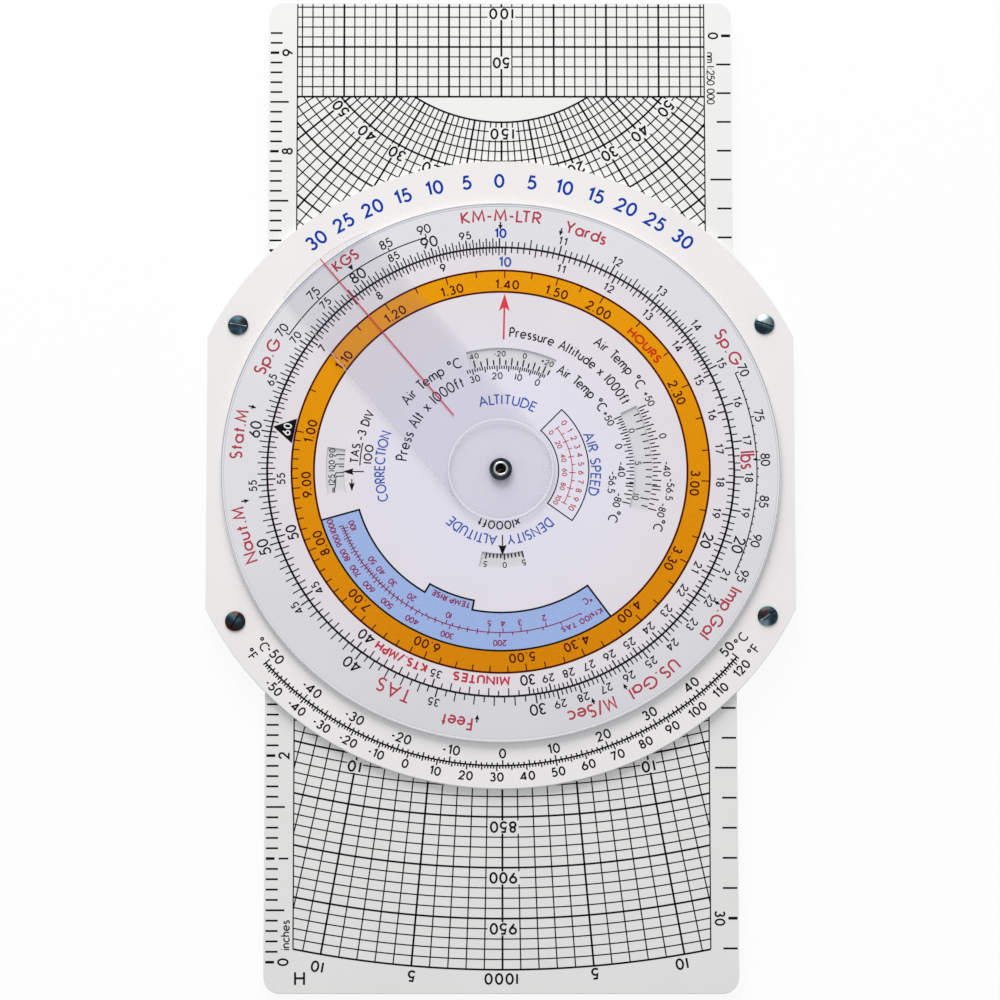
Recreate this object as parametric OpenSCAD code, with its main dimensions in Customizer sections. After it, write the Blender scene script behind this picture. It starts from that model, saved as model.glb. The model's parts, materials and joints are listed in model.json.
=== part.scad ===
// Slide-and-dial flight computer: a calculator face with two log scales and a cursor,
// a wind slide that runs between the plates, and a turning azimuth disc on the back.
// Millimetres. The origin is on the dial pivot, on the outer face of the back plate.
// +Y runs along the slide and +Z points out of the calculator face.

/* [Wind slide] */
// Width of the slide
slide_w = 113.5; // [106:0.1:125]
// Length of the slide
slide_l = 249; // [220:0.5:280]
// Thickness of the slide
slide_t = 1.0; // [0.6:0.05:2]
// Radius of the slide's corners
slide_corner_r = 4; // [1:0.5:8]
// Where the middle of the slide rests, measured up from the pivot
slide_rest_y = -4.3; // [-20:0.05:20]

/* [Body plates] */
// Width of each side rail, from the slide's edge to the rail's straight outer side
rail_w = 13.2; // [12:0.1:16]
// How far the sheets behind the front plate stop short of its edge
edge_step = 1.0; // [0.2:0.1:2]
// How much further the round edge is from the pivot than the straight sides are
round_rise = 7.7; // [6:0.1:12]
// Thickness of the front plate
front_plate_t = 1.4; // [0.7:0.05:2]
// Thickness of the back plate
back_plate_t = 1.2; // [1:0.05:2.5]

/* [Calculator scales] */
// Width of the plate's border outside the outer scale ring
border_w = 11.1; // [10.4:0.1:14]
// Width of the outer scale ring
scale_ring_w = 11.2; // [9:0.1:13]
// Thickness of the outer scale ring
scale_ring_t = 0.4; // [0.3:0.05:1.5]
// Thickness of the sheet that shows through the dial's windows
window_sheet_t = 0.8; // [0.3:0.05:1]
// How far the dial is set clockwise from the outer scale, in degrees
dial_set = 1.45; // [0:0.05:10]
// Inner radius of the temperature window above the pivot
altitude_window_r = 26.6; // [22:0.1:30]
// Radial height of the temperature window above the pivot
altitude_window_h = 4.4; // [3:0.1:5]
// Inner radius of the air speed window at the right
speed_window_r = 32.4; // [26:0.1:36]
// Radial height of the air speed window
speed_window_h = 4.3; // [3:0.1:5]
// Inner radius of the correction window at the left
correction_window_r = 37.9; // [34:0.1:42]
// Radial height of the correction window
correction_window_h = 4.4; // [3:0.1:5]
// Inner radius of the density window below the pivot
density_window_r = 20.8; // [18:0.1:25]
// Radial height of the density window
density_window_h = 3.8; // [3:0.1:5]

/* [Cursor] */
// Width of the clear cursor strip
cursor_w = 26.6; // [20:0.1:32]
// How far the cursor reaches past the outer scale ring
cursor_overhang = 1.35; // [0.5:0.05:4]
// Radius of the cursor's rounded far end
cursor_end_r = 45; // [30:1:65]
// Thickness of the cursor strip
cursor_t = 0.8; // [0.5:0.05:1.5]
// How far the cursor is set anticlockwise from the top, in degrees
cursor_set = 39.4; // [0:0.1:90]
// Diameter of the clear spacer washer under the cursor
hub_washer_d = 25.2; // [15:0.1:30]
// Thickness of the clear spacer washer
hub_washer_t = 0.2; // [0.1:0.05:0.5]

/* [Pivot eyelet] */
// Bore of the hollow eyelet
eyelet_bore_d = 2.2; // [1.5:0.1:2.4]
// Wall of the eyelet's barrel
eyelet_wall = 0.45; // [0.3:0.05:0.6]
// How far the rolled head reaches past the barrel
eyelet_head_lip = 0.35; // [0.2:0.05:0.8]
// How far the clinched flange at the rear reaches past the barrel
eyelet_flange_lip = 0.9; // [0.5:0.05:1.2]
// Thickness of the clinched flange
eyelet_flange_t = 0.22; // [0.15:0.01:0.25]
// Width of the ring of steel washer that shows round the rolled head
front_washer_w = 0.85; // [0.4:0.05:2]
// Thickness of the steel washer under the rolled head
front_washer_t = 0.25; // [0.15:0.05:0.5]
// How far the rear washer reaches past the clinched flange
rear_washer_w = 0.6; // [0.2:0.05:1.5]
// Thickness of the steel washer behind the front plate
rear_washer_t = 0.15; // [0.1:0.01:0.2]

/* [Wind side] */
// Wall of the carrier sheet beside its round opening, at the straight sides
carrier_wall = 6.05; // [5:0.05:9]
// Width of the clear disc's rim that runs under the back plate
rim_w = 4; // [2:0.1:4.5]
// Thickness of the clear plotting disc
plotting_disc_t = 0.8; // [0.5:0.05:1.5]
// Width of the azimuth ring
azimuth_ring_w = 8.85; // [7:0.05:12]
// How far the azimuth ring lies below the back plate's outer face
azimuth_recess = 0.1; // [0.05:0.05:0.3]

/* [Corner screws] */
// Distance from a rail's inner side to the screws
screw_inset = 7; // [5:0.1:9]
// Distance from the front plate's round edge to the screws
screw_edge = 4.97; // [4.9:0.01:7]
// Diameter of the screw heads
screw_head_d = 4.9; // [4:0.1:6]
// Height of the screw heads' straight edge
screw_head_edge = 0.35; // [0.2:0.05:0.6]
// Height of the screw heads' dome
screw_head_dome = 0.55; // [0.3:0.05:0.8]
// Diameter of the screws' shanks
screw_d = 2.5; // [2:0.1:2.8]
// Width of the screwdriver slot
slot_w = 0.5; // [0.4:0.05:1]
// Depth of the screwdriver slot
slot_depth = 0.5; // [0.3:0.05:0.7]
// Wall of the barrel nuts' barrels
nut_wall = 0.75; // [0.5:0.05:1]
// How far the barrel nuts' flush heads reach past their barrels
nut_head_lip = 1; // [0.5:0.05:1.5]
// Thickness of the barrel nuts' heads
nut_head_t = 0.55; // [0.4:0.05:0.7]

/* [Clearances] */
// Radial gap round a turning disc
turn_gap = 0.15; // [0.08:0.01:0.3]
// Radial gap between the eyelet's barrel and what turns on it
pivot_gap = 0.05; // [0.02:0.01:0.1]
// Gap between faces that slide over each other
face_gap = 0.05; // [0.03:0.01:0.1]
// Gap between the slide and each side rail
rail_gap = 0.25; // [0.1:0.05:0.4]
// Radial gap round the screws and barrel nuts
hole_gap = 0.05; // [0.02:0.01:0.1]

/* [Hidden] */
$fn = 96;

// Overshoot of a cutting shape, so that no cut ends on a face
cut = 1;

// The body, built out from the slide
rail_x = slide_w / 2 + rail_gap;
body_w = 2 * (rail_x + rail_w + edge_step);
body_d = body_w + 2 * round_rise;
scale_d = body_d - 2 * border_w;
dial_opening_r = scale_d / 2 - scale_ring_w;
dial_r = dial_opening_r - turn_gap;
cursor_reach = scale_d / 2 + cursor_overhang;

// Heights of the stack, from the back plate's outer face up
carrier_t = plotting_disc_t + 2 * face_gap;
channel_t = slide_t + 2 * face_gap;
carrier_z = back_plate_t;
channel_z = carrier_z + carrier_t;
front_plate_z = channel_z + channel_t;
window_sheet_z = front_plate_z + front_plate_t;
scale_ring_z = window_sheet_z + window_sheet_t;
dial_z = scale_ring_z + face_gap;
dial_t = scale_ring_t - face_gap;
hub_washer_z = dial_z + dial_t + face_gap;
cursor_z = hub_washer_z + hub_washer_t;
front_washer_z = cursor_z + cursor_t + face_gap;
eyelet_head_z = front_washer_z + front_washer_t;
slide_z = channel_z + face_gap;
plotting_disc_z = carrier_z + face_gap;
azimuth_ring_t = plotting_disc_z - azimuth_recess;

// The eyelet and the pocket for its clinched end in the front plate
eyelet_r = eyelet_bore_d / 2 + eyelet_wall;
eyelet_head_r = eyelet_r + eyelet_head_lip;
eyelet_flange_r = eyelet_r + eyelet_flange_lip;
front_washer_r = eyelet_head_r + front_washer_w;
rear_washer_r = eyelet_flange_r + rear_washer_w;
pivot_hole_r = eyelet_r + pivot_gap;
pocket_r = rear_washer_r + hole_gap;
pocket_depth = face_gap + eyelet_flange_t + rear_washer_t;
eyelet_flange_z = front_plate_z + face_gap;
rear_washer_z = eyelet_flange_z + eyelet_flange_t;

// The azimuth disc and the openings that it runs in
carrier_opening_r = body_w / 2 - edge_step - carrier_wall;
plotting_disc_r = carrier_opening_r - turn_gap;
window_r = plotting_disc_r - rim_w;
azimuth_r = window_r - turn_gap;
azimuth_inner_r = azimuth_r - azimuth_ring_w;

// Screws and barrel nuts, from the flush head to the underside of the front plate
nut_barrel_r = screw_d / 2 + nut_wall;
nut_head_r = nut_barrel_r + nut_head_lip;
nut_head_z = face_gap;
nut_pocket_depth = nut_head_z + nut_head_t;
nut_top_z = front_plate_z;
screw_tip_z = nut_head_z + nut_head_t + face_gap;
screw_x = rail_x + screw_inset;
screw_y = sqrt(pow(body_d / 2 - screw_edge, 2) - pow(screw_x, 2));
// Signs of the four corners, and how far each screw was drilled off its symmetric place
corners = [[-1, 1], [1, 1], [1, -1], [-1, -1]];
drill_drift = [[0.2, 0], [0.15, 0.2], [0.3, 0.8], [0, -0.5]];
screw_spots = [
  for (i = [0 : len(corners) - 1])
    [corners[i][0] * screw_x + drill_drift[i][0], corners[i][1] * screw_y + drill_drift[i][1]]
];
// Angle at which each screw's slot came to rest
slot_angles = [-10, -21, 35, 60];

// Start and end of each dial window, clockwise from the dial's index, in degrees
altitude_window_span = [-17.2, 24.6];
speed_window_span = [62.1, 105.3];
correction_window_span = [-99.7, -83.4];
density_window_span = [163.9, 191];

// A disc with its underside at height z
module disc(radius, thickness, z) {
  translate([0, 0, z]) cylinder(r = radius, h = thickness);
}

// The body's outline, a circle with two straight sides, drawn in by the inset
module body_sheet(thickness, z, inset) {
  width = body_w - 2 * inset;
  intersection() {
    disc(body_d / 2 - inset, thickness, z);
    translate([-width / 2, -body_d / 2, z]) cube([width, body_d, thickness]);
  }
}

// Holes at the four corners, from height z up
module corner_holes(radius, depth, z) {
  for (spot = screw_spots) {
    translate([spot[0], spot[1], z]) cylinder(r = radius, h = depth);
  }
}

// A hole on the pivot, through the layer that starts at height z
module pivot_hole(radius, thickness, z) {
  disc(radius, thickness + 2 * cut, z - cut);
}

// A ring-shaped window cutter between two clockwise angles
module window_cut(inner_r, height, span) {
  turn = span[1] - span[0];
  translate([0, 0, dial_z - cut])
    rotate([0, 0, 90 - span[1]])
      rotate_extrude(angle = turn)
        translate([inner_r, 0])
          square([height, dial_t + 2 * cut]);
}

// The strip of body outline beside the slide
module side_rail(side) {
  difference() {
    intersection() {
      body_sheet(channel_t, channel_z, edge_step);
      translate([side > 0 ? rail_x : -rail_x - body_w, -body_d / 2, channel_z])
        cube([body_w, body_d, channel_t]);
    }
    corner_holes(nut_barrel_r + hole_gap, channel_t + 2 * cut, channel_z - cut);
  }
}

module front_plate() {
  color("whitesmoke")
    difference() {
      body_sheet(front_plate_t, front_plate_z, 0);
      corner_holes(screw_d / 2 + hole_gap, front_plate_t + 2 * cut, front_plate_z - cut);
      pivot_hole(eyelet_r + hole_gap, front_plate_t, front_plate_z);
      disc(pocket_r, pocket_depth + cut, front_plate_z - cut);
    }
}

module outer_scale_ring() {
  color("lavender")
    difference() {
      disc(scale_d / 2, scale_ring_t, scale_ring_z);
      pivot_hole(dial_opening_r, scale_ring_t, scale_ring_z);
    }
}

module window_scale_disc() {
  color("gainsboro")
    difference() {
      disc(scale_d / 2, window_sheet_t, window_sheet_z);
      pivot_hole(eyelet_r + hole_gap, window_sheet_t, window_sheet_z);
    }
}

module inner_dial() {
  color("ghostwhite")
    rotate([0, 0, -dial_set])
      difference() {
        disc(dial_r, dial_t, dial_z);
        pivot_hole(pivot_hole_r, dial_t, dial_z);
        window_cut(altitude_window_r, altitude_window_h, altitude_window_span);
        window_cut(speed_window_r, speed_window_h, speed_window_span);
        window_cut(correction_window_r, correction_window_h, correction_window_span);
        window_cut(density_window_r, density_window_h, density_window_span);
      }
}

module cursor_strip() {
  color([0.85, 0.87, 0.93, 0.35])
    rotate([0, 0, cursor_set])
      difference() {
        union() {
          disc(cursor_w / 2, cursor_t, cursor_z);
          intersection() {
            translate([0, cursor_reach - cursor_end_r, 0]) disc(cursor_end_r, cursor_t, cursor_z);
            translate([-cursor_w / 2, 0, cursor_z])
              cube([cursor_w, cursor_reach, cursor_t]);
          }
        }
        pivot_hole(pivot_hole_r, cursor_t, cursor_z);
      }
}

module cursor_hub_washer() {
  color([0.88, 0.9, 0.95, 0.35])
    difference() {
      disc(hub_washer_d / 2, hub_washer_t, hub_washer_z);
      pivot_hole(pivot_hole_r, hub_washer_t, hub_washer_z);
    }
}

module pivot_eyelet() {
  roll_r = (eyelet_head_r - eyelet_bore_d / 2) / 2;
  color("slategray")
    difference() {
      union() {
        disc(eyelet_r, eyelet_head_z - eyelet_flange_z, eyelet_flange_z);
        disc(eyelet_flange_r, eyelet_flange_t, eyelet_flange_z);
        intersection() {
          translate([0, 0, eyelet_head_z])
            rotate_extrude()
              translate([eyelet_bore_d / 2 + roll_r, 0])
                circle(r = roll_r);
          disc(eyelet_head_r + cut, roll_r + cut, eyelet_head_z);
        }
      }
      disc(eyelet_bore_d / 2, eyelet_head_z - eyelet_flange_z + 2 * cut, eyelet_flange_z - cut);
    }
}

module pivot_front_washer() {
  color("dimgray")
    difference() {
      disc(front_washer_r, front_washer_t, front_washer_z);
      pivot_hole(eyelet_r + hole_gap, front_washer_t, front_washer_z);
    }
}

module pivot_rear_washer() {
  color("silver")
    difference() {
      disc(rear_washer_r, rear_washer_t, rear_washer_z);
      pivot_hole(eyelet_r + hole_gap, rear_washer_t, rear_washer_z);
    }
}

module wind_slide() {
  flat_w = slide_w - 2 * slide_corner_r;
  flat_l = slide_l - 2 * slide_corner_r;
  color("white")
    translate([0, slide_rest_y, slide_z]) {
      translate([-slide_w / 2, -flat_l / 2, 0]) cube([slide_w, flat_l, slide_t]);
      translate([-flat_w / 2, -slide_l / 2, 0]) cube([flat_w, slide_l, slide_t]);
      for (side = [-1, 1], end = [-1, 1]) {
        translate([side * flat_w / 2, end * flat_l / 2, 0])
          cylinder(r = slide_corner_r, h = slide_t);
      }
    }
}

module side_rail_left() {
  color("whitesmoke") side_rail(-1);
}

module side_rail_right() {
  color("whitesmoke") side_rail(1);
}

module disc_carrier() {
  color("whitesmoke")
    difference() {
      body_sheet(carrier_t, carrier_z, edge_step);
      pivot_hole(carrier_opening_r, carrier_t, carrier_z);
      corner_holes(nut_barrel_r + hole_gap, carrier_t + 2 * cut, carrier_z - cut);
    }
}

module back_plate() {
  color("whitesmoke")
    difference() {
      body_sheet(back_plate_t, 0, edge_step);
      pivot_hole(window_r, back_plate_t, 0);
      corner_holes(nut_barrel_r + hole_gap, back_plate_t + 2 * cut, -cut);
      corner_holes(nut_head_r + hole_gap, nut_pocket_depth + cut, -cut);
    }
}

module azimuth_ring() {
  color("gainsboro")
    difference() {
      disc(azimuth_r, azimuth_ring_t, azimuth_recess);
      pivot_hole(azimuth_inner_r, azimuth_ring_t, azimuth_recess);
    }
}

module plotting_disc() {
  color([0.9, 0.92, 0.95, 0.3]) disc(plotting_disc_r, plotting_disc_t, plotting_disc_z);
}

module corner_screws() {
  dome_r = (pow(screw_head_d / 2, 2) + pow(screw_head_dome, 2)) / (2 * screw_head_dome);
  head_h = screw_head_edge + screw_head_dome;
  color("silver")
    for (i = [0 : len(screw_spots) - 1]) {
      translate([screw_spots[i][0], screw_spots[i][1], 0]) {
        disc(screw_d / 2, window_sheet_z - screw_tip_z, screw_tip_z);
        difference() {
          intersection() {
            disc(screw_head_d / 2, head_h, window_sheet_z);
            translate([0, 0, window_sheet_z + head_h - dome_r]) sphere(r = dome_r);
          }
          rotate([0, 0, slot_angles[i]])
            translate([-screw_head_d, -slot_w / 2, window_sheet_z + head_h - slot_depth])
              cube([2 * screw_head_d, slot_w, slot_depth + cut]);
        }
      }
    }
}

module corner_barrel_nuts() {
  color("silver")
    for (spot = screw_spots) {
      translate([spot[0], spot[1], 0])
        difference() {
          union() {
            disc(nut_head_r, nut_head_t, nut_head_z);
            disc(nut_barrel_r, nut_top_z - nut_head_z, nut_head_z);
          }
          disc(screw_d / 2, nut_top_z - screw_tip_z + cut, screw_tip_z);
        }
    }
}

front_plate();
outer_scale_ring();
window_scale_disc();
inner_dial();
cursor_strip();
cursor_hub_washer();
pivot_eyelet();
pivot_front_washer();
pivot_rear_washer();
wind_slide();
side_rail_left();
side_rail_right();
disc_carrier();
back_plate();
azimuth_ring();
plotting_disc();
corner_screws();
corner_barrel_nuts();
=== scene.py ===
import json
import math

import bpy
from mathutils import Matrix, Vector


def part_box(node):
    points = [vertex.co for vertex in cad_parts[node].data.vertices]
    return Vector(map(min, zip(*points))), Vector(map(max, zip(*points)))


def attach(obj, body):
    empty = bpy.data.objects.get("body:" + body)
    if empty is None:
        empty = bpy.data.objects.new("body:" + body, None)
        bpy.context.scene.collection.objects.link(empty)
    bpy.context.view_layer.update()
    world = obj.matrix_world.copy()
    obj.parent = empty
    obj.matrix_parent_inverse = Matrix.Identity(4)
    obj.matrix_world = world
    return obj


# Looks of a slide-and-dial flight computer: its sheets, clear pieces and steel, and the print
# on both sides. Lengths are millimetres until a mesh is made. Angles are degrees, clockwise
# from the top of the face.

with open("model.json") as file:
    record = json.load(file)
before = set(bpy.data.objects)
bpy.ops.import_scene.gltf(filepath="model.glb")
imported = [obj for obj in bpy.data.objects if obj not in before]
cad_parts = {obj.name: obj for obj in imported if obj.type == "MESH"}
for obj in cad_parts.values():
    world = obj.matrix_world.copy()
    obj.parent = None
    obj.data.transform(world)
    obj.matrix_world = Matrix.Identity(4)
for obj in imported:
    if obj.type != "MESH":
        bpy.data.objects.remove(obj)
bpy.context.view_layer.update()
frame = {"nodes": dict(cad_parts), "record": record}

MM = 0.001

# How the print lies on a sheet
INK_SUNK = 0.01
INK_PROUD = 0.012
LAYER_RISE = 0.01
STROKE_RISE = 0.003
ARC_SAG = 0.004

# Line widths
HAIR = 0.28
FINE = 0.34
BOLD = 0.46

# How the turning pieces rest, as the solids are set
DIAL_SET = 1.45
CURSOR_SET = -39.4
NODE_TURNS = {"inner_dial": DIAL_SET, "cursor_strip": CURSOR_SET}

# How far the print on the slide sits below the middle of its sheet
PRINT_DROP = 0.45


# Sizes and places read from the frame

def face_of(node, facing=1):
    """Height of a solid's upper face, or of its lower one."""
    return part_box(node)[facing > 0].z / MM


def radius_of(node):
    low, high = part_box(node)
    return (high.x - low.x) / 2 / MM


dial_r = radius_of("inner_dial")
ring_r = radius_of("outer_scale_ring")
plate_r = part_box("front_plate")[1].y / MM
azimuth_r = radius_of("azimuth_ring")
hub_r = radius_of("cursor_hub_washer")
slide_low, slide_high = [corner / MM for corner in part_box("wind_slide")]
slide_middle = (0, (slide_low.y + slide_high.y) / 2 - PRINT_DROP)

node_slots = {row["node"]: row["material_slot"] for row in frame["record"]["subparts"]}
node_bodies = {
    node: body for body, nodes in frame["record"]["behaviour"]["bodies"].items() for node in nodes
}


# Points and angles

def evenly(start, end, count):
    """Numbers from start to end in equal steps."""
    return [start + (end - start) * i / count for i in range(count + 1)]


def axes(angle):
    """Directions to the right and up of something turned clockwise."""
    turn = math.radians(angle)
    return (math.cos(turn), -math.sin(turn)), (math.sin(turn), math.cos(turn))


def moved(point, angle, across, rise=0.0):
    """A point moved to the right and up of something turned clockwise."""
    right, up = axes(angle)
    return tuple(point[i] + across * right[i] + rise * up[i] for i in (0, 1))


def on_circle(radius, angle, centre=(0, 0)):
    return moved(centre, angle, 0, radius)


def arc_angles(radius, start, end):
    """Angles close enough together for a smooth arc."""
    step = math.degrees(2 * math.acos(max(0.5, 1 - ARC_SAG / radius)))
    return evenly(start, end, max(1, math.ceil(abs(end - start) / step)))


def arc_points(radius, start, end, centre=(0, 0)):
    return [on_circle(radius, angle, centre) for angle in arc_angles(radius, start, end)]


def by_tens(value, tens, fives, ones):
    """A tick's length, by whether its value is a ten, a five or neither."""
    if value % 10 == 0:
        return tens
    return fives if value % 5 == 0 else ones


# Stroke font: each glyph is its width and its pen strokes, in hundredths of the cap height

CAP_H = 100
X_HEIGHT = 64
OVAL_STEP = 22


def oval(cx, cy, rx, ry, start=0, end=360):
    """Pen stroke along an ellipse. Its angles run anticlockwise from the right."""
    angles = evenly(start, end, max(4, math.ceil(abs(end - start) / OVAL_STEP)))
    turns = [math.radians(angle) for angle in angles]
    return [(cx + rx * math.cos(turn), cy + ry * math.sin(turn)) for turn in turns]


ROUND = oval(31, X_HEIGHT / 2, 31, X_HEIGHT / 2)
STEM = [(0, 0), (0, 100)]
SHORT_STEM = [(0, 0), (0, X_HEIGHT)]
BOWL = [(0, 100), (24, 100)] + oval(24, 74, 26, 26, 90, -90) + [(0, 48)]
ARCH = oval(24, 40, 24, 24, 180, 0) + [(48, 0)]

GLYPHS = {
    " ": (30, []),
    ".": (10, [[(5, -2), (5, 10)]]),
    ":": (30, [[(15, 0), (15, 13)], [(15, 50), (15, 63)]]),
    "-": (28, [[(0, 42), (28, 42)]]),
    "–": (42, [[(0, 42), (42, 42)]]),
    "+": (56, [[(0, 45), (56, 45)], [(28, 17), (28, 73)]]),
    "/": (40, [[(0, -10), (40, 105)]]),
    "°": (30, [oval(15, 86, 15, 15)]),
    "∞": (80, [oval(20, 40, 20, 18), oval(60, 40, 20, 18)]),
    "0": (64, [oval(32, 50, 32, 50)]),
    "1": (26, [[(0, 82), (26, 100), (26, 0)]]),
    "2": (58, [oval(29, 72, 28, 28, 175, -38) + [(0, 0), (58, 0)]]),
    "3": (56, [oval(28, 76, 24, 24, 155, -90), oval(28, 26, 28, 26, 90, -155)]),
    "4": (68, [[(50, 0), (50, 100)], [(50, 100), (0, 25), (68, 25)]]),
    "5": (58, [[(52, 100), (16, 100), (8, 58)] + oval(26, 32, 32, 32, 120, -145)]),
    "6": (62, [[(44, 100), (6, 46)], oval(31, 30, 31, 30)]),
    "7": (58, [[(0, 100), (58, 100), (16, 0)]]),
    "8": (56, [oval(28, 76, 23, 24), oval(28, 26, 28, 26)]),
    "9": (62, [oval(31, 70, 31, 30), [(56, 54), (18, 0)]]),
    "A": (74, [[(0, 0), (37, 100), (74, 0)], [(14, 36), (60, 36)]]),
    "C": (74, [oval(46, 50, 46, 50, 52, 308)]),
    "D": (66, [[(0, 0), (0, 100), (20, 100)] + oval(20, 50, 46, 50, 90, -90) + [(0, 0)]]),
    "E": (46, [[(46, 100), (0, 100), (0, 0), (46, 0)], [(0, 52), (42, 52)]]),
    "F": (44, [[(44, 100), (0, 100), (0, 0)], [(0, 52), (40, 52)]]),
    "G": (90, [oval(46, 50, 46, 50, 45, 360) + [(50, 50)]]),
    "H": (60, [STEM, [(60, 0), (60, 100)], [(0, 52), (60, 52)]]),
    "I": (4, [[(2, 0), (2, 100)]]),
    "K": (54, [STEM, [(48, 100), (3, 50), (54, 0)]]),
    "L": (42, [[(0, 100), (0, 0), (42, 0)]]),
    "M": (82, [[(0, 0), (10, 100), (41, 20), (72, 100), (82, 0)]]),
    "N": (66, [[(0, 0), (0, 100), (66, 0), (66, 100)]]),
    "O": (92, [oval(46, 50, 46, 50)]),
    "P": (50, [STEM, BOWL]),
    "R": (52, [STEM, BOWL, [(20, 48), (52, 0)]]),
    "S": (48, [oval(24, 75, 22, 25, 40, 270) + oval(24, 25, 24, 25, 90, -140)]),
    "T": (52, [[(0, 100), (52, 100)], [(26, 100), (26, 0)]]),
    "U": (58, [[(0, 100)] + oval(29, 30, 29, 30, 180, 360) + [(58, 100)]]),
    "V": (70, [[(0, 100), (35, 0), (70, 100)]]),
    "W": (100, [[(0, 100), (25, 0), (50, 100), (75, 0), (100, 100)]]),
    "Y": (66, [[(0, 100), (33, 45), (66, 100)], [(33, 45), (33, 0)]]),
    "a": (62, [ROUND, [(62, 0), (62, X_HEIGHT)]]),
    "b": (62, [ROUND, STEM]),
    "c": (50, [oval(31, 32, 31, 32, 50, 310)]),
    "d": (62, [ROUND, [(62, 0), (62, 100)]]),
    "e": (62, [[(0, 32), (60, 32)], oval(31, 32, 31, 32, 0, 315)]),
    "f": (34, [[(12, 0)] + oval(28, 82, 16, 18, 180, 60), [(0, X_HEIGHT), (30, X_HEIGHT)]]),
    "h": (48, [STEM, ARCH]),
    "i": (4, [[(2, 0), (2, X_HEIGHT)], [(2, 86), (2, 95)]]),
    "l": (4, [[(2, 0), (2, 100)]]),
    "m": (80, [SHORT_STEM] + [
        oval(middle, 42, 20, 22, 180, 0) + [(middle + 20, 0)] for middle in (20, 60)
    ]),
    "n": (48, [SHORT_STEM, ARCH]),
    "p": (62, [ROUND, [(0, -32), (0, X_HEIGHT)]]),
    "r": (30, [SHORT_STEM, oval(20, 42, 20, 22, 180, 60)]),
    "s": (38, [oval(19, 48, 17, 16, 40, 270) + oval(19, 16, 19, 16, 90, -140)]),
    "t": (30, [[(14, 92), (14, 0)], [(0, X_HEIGHT), (30, X_HEIGHT)]]),
    "u": (48, [[(0, X_HEIGHT)] + oval(24, 26, 24, 26, 180, 360), [(48, X_HEIGHT), (48, 0)]]),
    "x": (46, [[(0, 0), (46, X_HEIGHT)], [(0, X_HEIGHT), (46, 0)]]),
}

# Room between signs, as shares of their height
LETTER_GAP = 0.28
SCALE_GAP = 0.4
LARGE_GAP = 0.22
WORD_GAP = 0.22
KERNS = {"LT": -0.22, "TI": -0.05, "Te": -0.16}


def sign_widths(text, size):
    return [GLYPHS[sign][0] / CAP_H * size for sign in text]


def scale_gap(value):
    """Room between the signs of a number: ones stand further off."""
    return SCALE_GAP if "1" in str(value) else LETTER_GAP


def plain_ones(text):
    """The text with its ones as plain bars."""
    return str(text).replace("1", "I")


# Print

NOTCH = 0.87
SHARPEST = 0.45
CRESCENT_STEP = 2
SAME_POINT = 1e-6

prints = []


def add_object(name, data):
    thing = bpy.data.objects.new(name, data)
    bpy.context.scene.collection.objects.link(thing)
    return thing


def mitred_sides(path, width, closed):
    """The two edges of a line of even width along a path."""
    reach = len(path)
    left, right = [], []
    for i, point in enumerate(path):
        back = path[i - 1] if i > 0 or closed else None
        ahead = path[(i + 1) % reach] if i < reach - 1 or closed else None
        legs = [Vector(point) - Vector(back)] if back else []
        if ahead:
            legs.append(Vector(ahead) - Vector(point))
        sides = [Vector((-leg.y, leg.x)).normalized() for leg in legs]
        mean = sum(sides, Vector((0, 0)))
        mean = mean.normalized() if mean.length > SAME_POINT else sides[0]
        shift = mean * (width / 2 / max(SHARPEST, mean.dot(sides[0])))
        left.append((point[0] + shift.x, point[1] + shift.y))
        right.append((point[0] - shift.x, point[1] - shift.y))
    return left, right


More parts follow.
